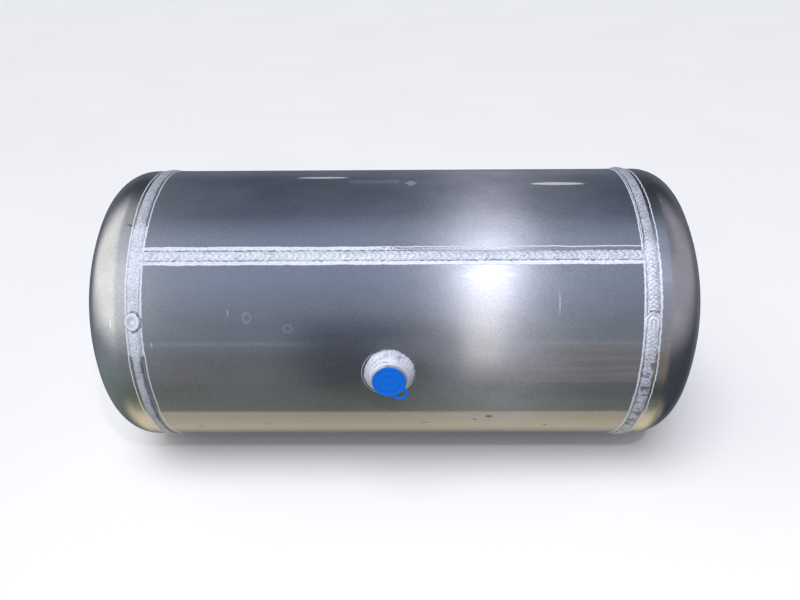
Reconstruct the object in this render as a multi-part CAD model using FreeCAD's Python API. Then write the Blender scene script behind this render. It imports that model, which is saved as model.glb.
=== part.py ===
import FreeCAD, Part
import math
import os

# Air receiver tank, all lengths in millimetres.
# Frame: origin at the middle of the barrel's axis, +X along the axis, +Z up.
# The drain port points along -Y and the three service ports along +Y.

# Barrel and heads
BARREL_RADIUS = 150.0
WALL = 3.5
SEAM_HALF_SPACING = 247.5
HEAD_STRAIGHT = 17.0
CROWN_RADIUS = 266.0
KNUCKLE_RADIUS = 37.5

# Weld preparation, the same for every butt seam
ROOT_HALF_GAP = 0.75
GROOVE_HALF_WIDTH = 4.0

# Circumferential weld beads
HEAD_BEAD_WIDTH = 13.0
LEFT_BEAD_HEIGHT = 1.7
RIGHT_BEAD_HEIGHT = 2.4

# Longitudinal weld bead, on the front of the barrel above the drain port
LONG_SEAM_ANGLE = 45.0
LONG_BEAD_WIDTH = 10.0
LONG_BEAD_HEIGHT = 1.2
ROOT_BEAD_WIDTH = 5.0
ROOT_BEAD_HEIGHT = 0.8
ROOT_BEAD_END_CLEARANCE = 14.0

# Backing rings inside the two circumferential seams
RING_WIDTH = 25.0
RING_THICKNESS = 2.5
RING_SPLIT = 2.0

# Threaded ports, M22 x 1.5: the tapped wall is drawn at the thread's minor diameter
BOSS_RADIUS = 17.0
BOSS_RISE = 13.8
BOSS_LENGTH = 22.0
BOSS_CHAMFER = 0.6
MOUTH_RADIUS = 11.25
MOUTH_DEPTH = 6.0
THREAD_MINOR_RADIUS = 10.188

# Fillet weld round each boss
FILLET_RISE = 11.5
FILLET_TOE_RADIUS = 25.2
FILLET_ROOT_DEPTH = 2.5

# Pull-out port plug
PLUG_SEAT_GAP = 0.05
FLANGE_RADIUS = 16.3
FLANGE_THICKNESS = 2.2
FLANGE_EDGE_RADIUS = 0.5
STEM_RADIUS = 10.9
STEM_LENGTH = 5.5
STEM_WALL = 1.5
TAB_OUTER_RADIUS = 7.2
TAB_INNER_RADIUS = 4.5
TAB_CENTRE_RADIUS = 17.8
TAB_THICKNESS = 1.5
TAB_DROP = 0.3

# Each port: name, place along X, turn about X from +Z, direction of its plug's tab
FRONT_TURN = 90.0
BACK_TURN = -90.0
PORTS = [
    ("drain", -3.5, FRONT_TURN, -51.0),
    ("inlet", -150.0, BACK_TURN, 35.0),
    ("gauge", 0.0, BACK_TURN, -70.0),
    ("outlet", 150.0, BACK_TURN, 160.0),
]

OVERSHOOT = 5.0
INNER_RADIUS = BARREL_RADIUS - WALL
FULL_TURN = 360.0
X_AXIS = FreeCAD.Vector(1, 0, 0)
Z_AXIS = FreeCAD.Vector(0, 0, 1)
ORIGIN = FreeCAD.Vector(0, 0, 0)


def vec(x, y, z=0.0):
    return FreeCAD.Vector(x, y, z)


def line(start, end):
    return Part.makeLine(start, end)


def arc(start, middle, end):
    return Part.Arc(start, middle, end).toShape()


def polyline(points):
    return [line(a, b) for a, b in zip(points, points[1:])]


def face_of(edges):
    return Part.Face(Part.Wire(edges))


def revolve_about_x(edges):
    """Solid swept by a profile drawn in the XY plane, with Y as the radius."""
    return face_of(edges).revolve(ORIGIN, X_AXIS, FULL_TURN)


def across_seam(v, radius):
    """Point of a section square to X: v across the seam, at a radius from the axis."""
    return vec(0, v, math.sqrt(radius**2 - v**2))


def extrude_along_x(edges, half_length):
    section = face_of(edges)
    section.translate(X_AXIS * -half_length)
    return section.extrude(X_AXIS * (2 * half_length))


def turn_to_seam(shape):
    """Turn a shape made at the top of the barrel to the longitudinal seam."""
    shape.rotate(ORIGIN, X_AXIS, LONG_SEAM_ANGLE)
    return shape


def groove_slope():
    return (GROOVE_HALF_WIDTH - ROOT_HALF_GAP) / WALL


def seam_groove():
    """V-shaped cutter for the gap between the two edges of the rolled sheet."""
    below = INNER_RADIUS - OVERSHOOT
    above = BARREL_RADIUS + OVERSHOOT
    half_above = GROOVE_HALF_WIDTH + OVERSHOOT * groove_slope()
    corners = [
        vec(0, -ROOT_HALF_GAP, below),
        vec(0, ROOT_HALF_GAP, below),
        vec(0, ROOT_HALF_GAP, INNER_RADIUS),
        vec(0, half_above, above),
        vec(0, -half_above, above),
        vec(0, -ROOT_HALF_GAP, INNER_RADIUS),
    ]
    edges = polyline(corners + corners[:1])
    return turn_to_seam(extrude_along_x(edges, SEAM_HALF_SPACING + OVERSHOOT))


def place_port(shape, x, turn):
    """Move a shape made on +Z to its port's place on the barrel."""
    shape.rotate(ORIGIN, X_AXIS, turn)
    shape.translate(X_AXIS * x)
    return shape


def cylinder_up(radius, bottom, top):
    return Part.makeCylinder(radius, top - bottom, vec(0, 0, bottom), Z_AXIS)


def barrel():
    """Rolled sheet: bevelled ends, an open V seam and a hole for each boss."""
    root_end = SEAM_HALF_SPACING - ROOT_HALF_GAP
    outer_end = SEAM_HALF_SPACING - GROOVE_HALF_WIDTH
    corners = [
        vec(-root_end, INNER_RADIUS),
        vec(root_end, INNER_RADIUS),
        vec(outer_end, BARREL_RADIUS),
        vec(-outer_end, BARREL_RADIUS),
    ]
    sheet = revolve_about_x(polyline(corners + corners[:1])).cut(seam_groove())
    for _, x, turn, _ in PORTS:
        hole = cylinder_up(BOSS_RADIUS, INNER_RADIUS - 2 * OVERSHOOT, BARREL_RADIUS + OVERSHOOT)
        sheet = sheet.cut(place_port(hole, x, turn))
    return sheet


def head_arcs(crown_radius, knuckle_radius, tangent_x, edge_radius):
    """Crown and knuckle arcs of a dished head, from the axis to the straight part."""
    centre_offset = edge_radius - knuckle_radius
    centre_distance = crown_radius - knuckle_radius
    crown_x = tangent_x - math.sqrt(centre_distance**2 - centre_offset**2)
    join_angle = math.asin(centre_offset / centre_distance)
    knuckle_angle = (join_angle + math.pi / 2) / 2

    def on_crown(angle):
        return vec(crown_x + crown_radius * math.cos(angle), crown_radius * math.sin(angle))

    join = on_crown(join_angle)
    knuckle_middle = vec(
        tangent_x + knuckle_radius * math.cos(knuckle_angle),
        centre_offset + knuckle_radius * math.sin(knuckle_angle),
    )
    crown = arc(on_crown(0), on_crown(join_angle / 2), join)
    knuckle = arc(join, knuckle_middle, vec(tangent_x, edge_radius))
    return [crown, knuckle], on_crown(0)


def head(side):
    """Deep-drawn torispherical head, side +1 at the right end and -1 at the left."""
    tangent_x = SEAM_HALF_SPACING + HEAD_STRAIGHT
    outer, outer_apex = head_arcs(CROWN_RADIUS, KNUCKLE_RADIUS, tangent_x, BARREL_RADIUS)
    inner, inner_apex = head_arcs(
        CROWN_RADIUS - WALL, KNUCKLE_RADIUS - WALL, tangent_x, INNER_RADIUS
    )
    rim = polyline([
        vec(tangent_x, BARREL_RADIUS),
        vec(SEAM_HALF_SPACING + GROOVE_HALF_WIDTH, BARREL_RADIUS),
        vec(SEAM_HALF_SPACING + ROOT_HALF_GAP, INNER_RADIUS),
        vec(tangent_x, INNER_RADIUS),
    ])
    shape = revolve_about_x(outer + rim + inner[::-1] + [line(inner_apex, outer_apex)])
    if side < 0:
        shape.rotate(ORIGIN, Z_AXIS, FULL_TURN / 2)
    return shape


def head_weld(side, bead_height):
    """Bead that fills the V groove between barrel and head and stands proud of both."""
    half = HEAD_BEAD_WIDTH / 2
    cap = arc(
        vec(-half, BARREL_RADIUS),
        vec(0, BARREL_RADIUS + bead_height),
        vec(half, BARREL_RADIUS),
    )
    groove = polyline([
        vec(half, BARREL_RADIUS),
        vec(GROOVE_HALF_WIDTH, BARREL_RADIUS),
        vec(ROOT_HALF_GAP, INNER_RADIUS),
        vec(-ROOT_HALF_GAP, INNER_RADIUS),
        vec(-GROOVE_HALF_WIDTH, BARREL_RADIUS),
        vec(-half, BARREL_RADIUS),
    ])
    bead = revolve_about_x([cap] + groove)
    bead.translate(X_AXIS * (side * SEAM_HALF_SPACING))
    return bead


def longitudinal_weld(sheet, end_welds):
    """Cap, throat and root bead along the barrel's seam, ending at the head welds."""
    cap_half = LONG_BEAD_WIDTH / 2
    root_half = ROOT_BEAD_WIDTH / 2
    cap_left = across_seam(-cap_half, BARREL_RADIUS)
    cap_right = across_seam(cap_half, BARREL_RADIUS)
    root_left = across_seam(-root_half, INNER_RADIUS)
    root_right = across_seam(root_half, INNER_RADIUS)
    root_middle = across_seam(0, INNER_RADIUS)
    cap = arc(cap_left, vec(0, 0, BARREL_RADIUS + LONG_BEAD_HEIGHT), cap_right)
    throat = [line(cap_right, root_right), arc(root_right, root_middle, root_left)]
    upper = extrude_along_x([cap] + throat + [line(root_left, cap_left)], SEAM_HALF_SPACING)
    penetration = arc(root_right, vec(0, 0, INNER_RADIUS - ROOT_BEAD_HEIGHT), root_left)
    root = extrude_along_x(
        [penetration, arc(root_left, root_middle, root_right)],
        SEAM_HALF_SPACING - ROOT_BEAD_END_CLEARANCE,
    )
    bead = turn_to_seam(upper.fuse(root)).cut(sheet)
    for weld in end_welds:
        bead = bead.cut(weld)
    return bead.removeSplitter()


def backing_ring(side):
    """Split flat ring inside a circumferential seam, behind the weld's root."""
    outer = Part.makeCylinder(INNER_RADIUS, RING_WIDTH, ORIGIN, X_AXIS)
    inner = Part.makeCylinder(INNER_RADIUS - RING_THICKNESS, RING_WIDTH, ORIGIN, X_AXIS)
    split = Part.makeBox(RING_WIDTH, RING_SPLIT, BARREL_RADIUS)
    split.translate(vec(0, -RING_SPLIT / 2, -BARREL_RADIUS))
    ring = outer.cut(inner).cut(split)
    ring.translate(X_AXIS * (side * SEAM_HALF_SPACING - RING_WIDTH / 2))
    return ring


def boss():
    """Turned boss set through the barrel wall, with a plain mouth and a tapped bore."""
    top = BARREL_RADIUS + BOSS_RISE
    bottom = top - BOSS_LENGTH
    body = cylinder_up(BOSS_RADIUS, bottom, top)
    rims = [edge for edge in body.Edges if edge.Closed]
    body = body.makeChamfer(BOSS_CHAMFER, rims)
    bore = cylinder_up(THREAD_MINOR_RADIUS, bottom - OVERSHOOT, top)
    mouth = cylinder_up(MOUTH_RADIUS, top - MOUTH_DEPTH, top + OVERSHOOT)
    return body.cut(bore).cut(mouth)


def boss_weld():
    """Fillet weld round a boss, with its toe following the barrel's curve."""
    slope = (FILLET_TOE_RADIUS - BOSS_RADIUS) / FILLET_RISE
    base = BARREL_RADIUS - FILLET_ROOT_DEPTH
    foot_radius = FILLET_TOE_RADIUS + slope * FILLET_ROOT_DEPTH
    corners = [
        vec(BOSS_RADIUS, 0, BARREL_RADIUS + FILLET_RISE),
        vec(foot_radius, 0, base),
        vec(BOSS_RADIUS, 0, base),
    ]
    fillet = face_of(polyline(corners + corners[:1])).revolve(ORIGIN, Z_AXIS, FULL_TURN)
    inside = Part.makeCylinder(
        BARREL_RADIUS, 4 * BARREL_RADIUS, vec(-2 * BARREL_RADIUS, 0), X_AXIS
    )
    return fillet.cut(inside)


def plug(tab_direction):
    """Moulded plug: round flange, hollow stem in the boss's mouth and a pull tab."""
    seat = BARREL_RADIUS + BOSS_RISE + PLUG_SEAT_GAP
    top = seat + FLANGE_THICKNESS
    flange = cylinder_up(FLANGE_RADIUS, seat, top)
    rims = [edge for edge in flange.Edges if edge.Closed]
    flange = flange.makeFillet(FLANGE_EDGE_RADIUS, rims)
    stem = cylinder_up(STEM_RADIUS, seat - STEM_LENGTH, seat + FLANGE_EDGE_RADIUS)
    hollow = cylinder_up(STEM_RADIUS - STEM_WALL, seat - STEM_LENGTH, seat)
    stem = stem.cut(hollow)
    angle = math.radians(tab_direction)
    centre = vec(TAB_CENTRE_RADIUS * math.cos(angle), TAB_CENTRE_RADIUS * math.sin(angle))
    tab_bottom = top - TAB_DROP - TAB_THICKNESS
    ring = cylinder_up(TAB_OUTER_RADIUS, tab_bottom, top - TAB_DROP)
    eye = cylinder_up(TAB_INNER_RADIUS, tab_bottom, top - TAB_DROP)
    ring = ring.cut(eye)
    ring.translate(centre)
    return flange.fuse([stem, ring]).removeSplitter()


def all_parts():
    sheet = barrel()
    left_weld = head_weld(-1, LEFT_BEAD_HEIGHT)
    right_weld = head_weld(1, RIGHT_BEAD_HEIGHT)
    parts = {
        "barrel": sheet,
        "longitudinal_weld": longitudinal_weld(sheet, [left_weld, right_weld]),
        "head_left": head(-1),
        "head_right": head(1),
        "head_weld_left": left_weld,
        "head_weld_right": right_weld,
        "backing_ring_left": backing_ring(-1),
        "backing_ring_right": backing_ring(1),
    }
    for name, x, turn, tab_direction in PORTS:
        parts[name + "_boss"] = place_port(boss(), x, turn)
        parts[name + "_boss_weld"] = place_port(boss_weld(), x, turn)
        parts[name + "_plug"] = place_port(plug(tab_direction), x, turn)
    return parts


os.makedirs("parts", exist_ok=True)
for node, shape in all_parts().items():
    shape.exportStep("parts/" + node + ".step")
    box = shape.BoundBox
    spans = [box.XMin, box.XMax, box.YMin, box.YMax, box.ZMin, box.ZMax]
    print(node, shape.ShapeType, len(shape.Solids), shape.isValid(), round(shape.Volume), end=" ")
    print([round(value, 2) for value in spans])
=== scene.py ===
import math

import bpy
import numpy as np
from mathutils import Matrix, Vector


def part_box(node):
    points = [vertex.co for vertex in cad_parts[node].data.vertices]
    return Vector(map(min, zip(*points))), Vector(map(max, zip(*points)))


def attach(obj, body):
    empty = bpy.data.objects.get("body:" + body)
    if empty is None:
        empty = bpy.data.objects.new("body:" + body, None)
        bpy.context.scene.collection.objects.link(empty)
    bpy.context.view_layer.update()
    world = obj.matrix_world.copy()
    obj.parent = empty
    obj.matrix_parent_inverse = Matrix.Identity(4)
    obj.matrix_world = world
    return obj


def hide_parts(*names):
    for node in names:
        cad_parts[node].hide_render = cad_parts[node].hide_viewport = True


# The air receiver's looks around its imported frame. Metres, +X along the tank, +Z up.
# Weld beads, bosses, plugs and heads are rebuilt in detail; barrel and rings keep their
# CAD shapes and get worked metal. MM turns the millimetres used below into metres.
MM = 0.001

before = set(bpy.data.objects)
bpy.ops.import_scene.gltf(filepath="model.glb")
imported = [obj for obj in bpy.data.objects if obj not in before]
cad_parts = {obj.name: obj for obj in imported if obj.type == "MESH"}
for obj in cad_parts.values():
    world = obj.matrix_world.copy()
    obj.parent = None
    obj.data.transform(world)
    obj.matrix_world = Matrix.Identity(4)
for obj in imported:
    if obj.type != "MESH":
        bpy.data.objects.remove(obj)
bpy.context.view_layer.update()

# Sizes read from the frame
BARREL_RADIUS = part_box("barrel")[1].y
SEAM_X = {
    "left": sum(corner.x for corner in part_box("head_weld_left")) / 2,
    "right": sum(corner.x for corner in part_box("head_weld_right")) / 2,
}

# Sizes repeated from the CAD model, which the frame's boxes don't give
WALL = 3.5 * MM
HEAD_STRAIGHT = 17.0 * MM
CROWN_RADIUS = 266.0 * MM
KNUCKLE_RADIUS = 37.5 * MM
GROOVE_HALF_WIDTH = 4.0 * MM
ROOT_HALF_GAP = 0.75 * MM
LONG_SEAM_ANGLE = math.radians(45)

PORTS = ("drain", "inlet", "gauge", "outlet")
# Degrees from the tank's length to each plug's tab
TAB_DIRECTIONS = {"drain": -51, "inlet": 35, "gauge": -70, "outlet": 160}
# Where the circumferential beads stop, above the front
CRATER_ANGLE = math.radians(20.6)
FULL_TURN = 2 * math.pi
# Millimetres round the barrel for each degree
DEGREE_ROUND_BARREL = math.radians(1) * BARREL_RADIUS / MM

CROWN_STEPS = 60
KNUCKLE_STEPS = 32
HEAD_STEPS = 256
PLUG_STEPS = 128


# ---------------------------------------------------------------- mesh tools

def smoothstep(low, high, value):
    t = np.clip((value - low) / (high - low), 0, 1)
    return t * t * (3 - 2 * t)


def lattice_noise(u, v, seed, wrap=None):
    """Smooth noise from -1 to 1 on a unit lattice, repeating every wrap cells along u."""
    size, depth = 2048, 64
    table = np.random.default_rng(seed).uniform(-1, 1, (size, depth))
    columns = wrap or size
    u, v = np.broadcast_arrays(np.asarray(u, float), np.asarray(v, float))
    i = np.floor(u).astype(int)
    j = np.floor(v).astype(int)
    fu = smoothstep(0, 1, u - i)
    fv = smoothstep(0, 1, v - j)
    i0, i1 = i % columns, (i + 1) % columns
    j0, j1 = j % depth, (j + 1) % depth
    near = table[i0, j0] * (1 - fu) + table[i1, j0] * fu
    far = table[i0, j1] * (1 - fu) + table[i1, j1] * fu
    return near * (1 - fv) + far * fv


def grid_faces(rows, columns, close_rows, close_columns):
    """Quads of a grid of points numbered row by row."""
    r = np.arange(rows if close_rows else rows - 1)
    c = np.arange(columns if close_columns else columns - 1)
    r, c = np.meshgrid(r, c, indexing="ij")
    r_next, c_next = (r + 1) % rows, (c + 1) % columns
    quads = np.stack(
        [r * columns + c, r * columns + c_next, r_next * columns + c_next, r_next * columns + c],
        axis=-1,
    )
    return quads.reshape(-1, 4)


def mesh_piece(name, points, faces, material, body, nodes, sharp_degrees=40.0):
    """A smooth piece in place of CAD nodes, riding on a body."""
    mesh = bpy.data.meshes.new(name)
    mesh.from_pydata(np.asarray(points).reshape(-1, 3).tolist(), [], [list(f) for f in faces])
    mesh.validate()
    mesh.shade_smooth()
    mesh.set_sharp_from_angle(angle=math.radians(sharp_degrees))
    mesh.materials.append(material)
    piece = bpy.data.objects.new(name, mesh)
    bpy.context.scene.collection.objects.link(piece)
    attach(piece, body)
    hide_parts(*nodes)
    return piece


def point_attribute(piece, name, values):
    layer = piece.data.attributes.new(name, "FLOAT", "POINT")
    layer.data.foreach_set("value", np.asarray(values, np.float32).ravel())


# ---------------------------------------------------------------- node tools

class Material:
    """A node material with one Principled surface and short ways to add nodes."""

    def __init__(self, name):
        self.material = bpy.data.materials.new(name)
        self.material.use_nodes = True
        self.tree = self.material.node_tree
        self.surface = self.tree.nodes["Principled BSDF"]

    def node(self, kind, settings=None, **inputs):
        made = self.tree.nodes.new("ShaderNode" + kind)
        for key, value in (settings or {}).items():
            setattr(made, key, value)
        for key, value in inputs.items():
            self.feed(made, key.replace("_", " "), value)
        return made

    def feed(self, node, socket, value):
        """Link an output to a socket, or set the socket's plain value."""
        target = node.inputs[int(socket)] if socket.isdigit() else node.inputs[socket]
        if isinstance(value, bpy.types.NodeSocket):
            self.tree.links.new(value, target)
        else:
            target.default_value = value

    def set(self, socket, value):
        self.feed(self.surface, socket, value)

    def object_point(self):
        return self.node("TexCoord").outputs["Object"]

    def stretched(self, scale):
        mapping = self.node("Mapping", Vector=self.object_point(), Scale=scale)
        return mapping.outputs["Vector"]

    def noise(self, vector, scale, detail=2.0, roughness=0.5):
        made = self.node(
            "TexNoise", Vector=vector, Scale=scale, Detail=detail, Roughness=roughness
        )
        return made.outputs["Fac"]

    def math(self, operation, a, b=0.0, c=0.0):
        made = self.node("Math", {"operation": operation})
        for index, value in enumerate((a, b, c)):
            self.feed(made, str(index), value)
        return made.outputs[0]

    def remap(self, value, low, high, new_low, new_high):
        made = self.node(
            "MapRange", Value=value, From_Min=low, From_Max=high, To_Min=new_low, To_Max=new_high
        )
        return made.outputs["Result"]

    def blend(self, share, first, second):
        made = self.node("Mix", {"data_type": "RGBA"})
        self.feed(made, "0", share)
        self.feed(made, "6", first)
        self.feed(made, "7", second)
        return made.outputs[2]

    def bump(self, height, distance, strength=1.0, normal=None):
        made = self.node("Bump", Height=height, Distance=distance, Strength=strength)
        if normal is not None:
            self.feed(made, "Normal", normal)
        return made.outputs["Normal"]


def grey(value):
    return (value, value, value, 1)


class TankMarks:
    """Marks placed in millimetres along the tank and degrees above its front."""

    def __init__(self, m):
        self.m = m
        split = m.node("SeparateXYZ", Vector=m.object_point())
        x, y, z = split.outputs
        self.along = m.math("MULTIPLY", x, 1 / MM)
        turn = m.math("ARCTAN2", z, m.math("MULTIPLY", y, -1.0))
        self.round = m.math("DEGREES", turn)
        self.ragged = m.noise(m.object_point(), 420.0, 2.0, 0.6)

    def offset(self, x, angle):
        """Millimetres from a place, along and round the tank."""
        aside = self.m.math("SUBTRACT", self.along, x)
        above = self.m.math("SUBTRACT", self.round, angle)
        return aside, self.m.math("MULTIPLY", above, DEGREE_ROUND_BARREL)

    def spot(self, x, angle, half_x, half_round, ring=False):
        """An oval mark with a soft worn edge, or only its outline."""
        m = self.m
        aside, above = self.offset(x, angle)
        far_x = m.math("POWER", m.math("DIVIDE", aside, half_x), 2.0)
        far_round = m.math("POWER", m.math("DIVIDE", above, half_round), 2.0)
        far = m.math("SQRT", m.math("ADD", far_x, far_round))
        far = m.math("ADD", far, m.math("SUBTRACT", self.ragged, 0.5))
        if ring:
            return m.remap(m.math("ABSOLUTE", m.math("SUBTRACT", far, 0.8)), 0.12, 0.3, 0.6, 0.0)
        return m.remap(far, 0.6, 1.0, 1.0, 0.0)

    def dashes(self, x, angle, half_x, rows, half_row=1.3, beats=2.4):
        """Rows of short etched dashes that stand for nothing."""
        m = self.m
        aside, above = self.offset(x, angle)
        beat = m.math("SINE", m.math("MULTIPLY", self.along, beats))
        beat = m.math("MULTIPLY", m.math("GREATER_THAN", beat, -0.2),
                      m.math("LESS_THAN", m.math("ABSOLUTE", aside), half_x))
        lines = [
            m.math("LESS_THAN", m.math("ABSOLUTE", m.math("SUBTRACT", above, row)), half_row)
            for row in rows
        ]
        return m.math("MULTIPLY", beat, self.total(lines))

    def diamond(self, x, angle, half):
        """A plain diamond that stands for nothing."""
        m = self.m
        aside, above = self.offset(x, angle)
        far = m.math("ADD", m.math("ABSOLUTE", aside), m.math("ABSOLUTE", above))
        return m.math("LESS_THAN", far, half)

    def total(self, masks):
        total = masks[0]
        for mask in masks[1:]:
            total = self.m.math("MAXIMUM", total, mask)
        return total


def barrel_marks(marks):
    """Rub marks and faint etching, and the stains under the belly."""
    light = [
        marks.spot(-139.0, 22.0, 4.5, 5.5, ring=True), marks.spot(-100.0, 18.0, 5.0, 4.0, ring=True),
        marks.spot(-157.0, 24.0, 1.0, 4.0), marks.spot(159.0, 27.0, 0.7, 14.0),
        marks.spot(-232.0, 12.0, 1.2, 3.5), marks.dashes(-20.0, 84.5, 26.0, (2.2, -2.2)),
        marks.diamond(18.5, 83.0, 6.5),
    ]
    dark = [
        marks.spot(-205.0, -34.0, 2.2, 3.0), marks.spot(84.0, -27.0, 3.0, 1.8),
        marks.spot(98.0, -24.5, 4.5, 3.5), marks.spot(159.0, -33.0, 2.4, 2.4),
        marks.spot(32.0, -30.0, 5.0, 1.2), marks.spot(-134.0, -30.5, 3.0, 1.2),
    ]
    return marks.total(light), marks.total(dark)


def head_marks(marks):
    """A scuff on each head, and the burnt speck beside the left seam."""
    light = [marks.spot(268.0, 70.0, 1.0, 5.0), marks.spot(-270.0, 20.0, 1.0, 6.0)]
    dark = [marks.spot(-257.0, 58.0, 2.0, 1.5), marks.spot(-259.5, 58.5, 1.6, 0.8)]
    return marks.total(light), marks.total(dark)


def sheet_metal(name, tint, roughness, anisotropy, coat, coat_roughness, place_marks):
    """Sheet aluminium: grain along the tank, soft stains and, with a coat, a sharp gloss."""
    m = Material(name)
    speckle = m.noise(m.stretched((420, 1300, 1300)), 1.0, 2.0, 0.6)
    lines = m.noise(m.stretched((7, 800, 800)), 1.0, 2.0, 0.6)
    cloud = m.noise(m.stretched((9, 16, 16)), 1.0, 4.0, 0.6)
    wave = m.noise(m.stretched((4, 14, 14)), 1.0, 1.0, 0.4)
    marks = TankMarks(m)
    light_marks, dark_marks = place_marks(marks)
    bright = [min(1.0, c * 1.1) for c in tint] + [1.0]
    dim = [c * 0.88 for c in tint] + [1.0]
    colour = m.blend(m.remap(cloud, 0.35, 0.65, 0.0, 1.0), dim, bright)
    colour = m.blend(m.remap(lines, 0.55, 0.75, 0.0, 0.35), colour, bright)
    sparkle = m.noise(m.stretched((700, 1000, 1000)), 1.0, 1.0, 0.5)
    colour = m.blend(m.remap(sparkle, 0.5, 0.85, 0.0, 0.3), colour, (0.8, 0.81, 0.85, 1))
    colour = m.blend(m.remap(sparkle, 0.5, 0.15, 0.0, 0.25), colour, (0.1, 0.1, 0.12, 1))
    colour = m.blend(m.math("MULTIPLY", light_marks, 0.85), colour, (0.8, 0.82, 0.86, 1))
    colour = m.blend(m.math("MULTIPLY", dark_marks, 0.8), colour, (0.1, 0.07, 0.05, 1))
    m.set("Base Color", colour)
    m.set("Metallic", 1.0)
    m.set("Roughness", m.remap(cloud, 0.3, 0.7, roughness - 0.03, roughness + 0.03))
    if anisotropy:
        m.set("Anisotropic", anisotropy)
        tangent = m.node("Tangent", {"direction_type": "RADIAL", "axis": "X"})
        m.set("Tangent", tangent.outputs["Tangent"])
    ripple = m.bump(wave, 0.0008, 0.25)
    texture = m.math("MULTIPLY_ADD", lines, 0.5, speckle)
    m.set("Normal", m.bump(texture, 0.00006, 1.0, ripple))
    worn = m.math("MAXIMUM", m.math("MULTIPLY", light_marks, 0.5), dark_marks)
    unworn = m.math("SUBTRACT", 1.0, m.math("MULTIPLY", worn, 0.6))
    m.set("Coat Weight", m.math("MULTIPLY", unworn, coat))
    m.set("Coat Roughness", coat_roughness)
    m.set("Coat IOR", 2.4)
    m.set("Coat Normal", ripple)
    return m.material


def weld_metal(name):
    """Frosty as-welded aluminium. Its shade attribute carries painted shade in the creases and ripple
    valleys and painted light on the crests, besides the bead's own tone.
    """
    m = Material(name)
    shade = m.node("Attribute", {"attribute_name": "shade"}).outputs["Fac"]
    speckle = m.noise(m.object_point(), 900.0, 2.0, 0.6)
    patch = m.noise(m.object_point(), 90.0, 3.0, 0.6)
    mixed = m.math("MULTIPLY_ADD", m.math("SUBTRACT", speckle, 0.5), 0.5, shade)
    mixed = m.math("MULTIPLY_ADD", m.math("SUBTRACT", patch, 0.5), 0.35, mixed)
    m.set("Base Color", m.blend(m.remap(mixed, 0.1, 0.9, 0.0, 1.0),
                                (0.05, 0.06, 0.08, 1), (0.56, 0.59, 0.66, 1)))
    m.set("Metallic", 0.35)
    m.set("Roughness", m.remap(speckle, 0.3, 0.7, 0.34, 0.52))
    m.set("Normal", m.bump(speckle, 0.0002, 0.6))
    return m.material


def turned_metal(name):
    """Machined aluminium with a fine, calm grain."""
    m = Material(name)
    grain = m.noise(m.object_point(), 900.0, 3.0, 0.5)
    m.set("Base Color", m.blend(grain, (0.78, 0.8, 0.83, 1), (0.92, 0.93, 0.95, 1)))
    m.set("Metallic", 0.9)
    m.set("Roughness", m.remap(grain, 0.3, 0.7, 0.18, 0.28))
    m.set("Normal", m.bump(grain, 0.00003, 0.4))
    return m.material


def plug_plastic(name):
    """Blue moulded polyethylene."""
    m = Material(name)
    mottle = m.noise(m.object_point(), 700.0, 3.0, 0.6)
    fine = m.noise(m.object_point(), 2500.0, 2.0, 0.5)
    m.set("Base Color", m.blend(mottle, (0.0, 0.07, 0.4, 1), (0.0, 0.13, 0.56, 1)))
    m.set("Roughness", m.remap(fine, 0.3, 0.7, 0.28, 0.4))
    m.set("Specular IOR Level", 0.14)
    m.set("Normal", m.bump(fine, 0.0002, 0.6))
    return m.material


def floor_paint(name):
    """Matt pale floor, very slightly uneven in tone."""
    m = Material(name)
    tone = m.noise(m.object_point(), 3.0, 3.0, 0.5)
    m.set("Base Color", m.blend(tone, grey(0.66), grey(0.7)))
    m.set("Roughness", 0.9)
    m.set("Specular IOR Level", 0.1)
    return m.material


def wall_paint(name):
    """The pale backdrop, lit evenly by itself."""
    m = Material(name)
    m.set("Base Color", grey(0.5))
    m.set("Roughness", 0.9)
    m.set("Emission Color", grey(1.0))
    m.set("Emission Strength", 0.55)
    return m.material


BARREL_METAL = sheet_metal("rolled_aluminium", (0.36, 0.375, 0.41), 0.37, 1.0, 1.0, 0.04,
                           barrel_marks)
HEAD_METAL = sheet_metal("drawn_aluminium", (0.6, 0.6, 0.6), 0.2, 0.0, 0.0, 0.1, head_marks)
WELD_METAL = weld_metal("weld_bead")
BOSS_METAL = turned_metal("turned_aluminium")
PLUG_BLUE = plug_plastic("blue_polyethylene")


# ---------------------------------------------------------------- weld beads

BEAD_HALF_REACH = 9.8 * MM
LONG_BEAD_HALF_REACH = 11.0 * MM
BEAD_STEP_ALONG = 0.5 * MM
BEAD_STEP_ACROSS = 0.36 * MM
BEAD_SIDE_DEPTH = 1.0 * MM
BEAD_GROOVE_DEPTH = 1.2 * MM


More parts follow.
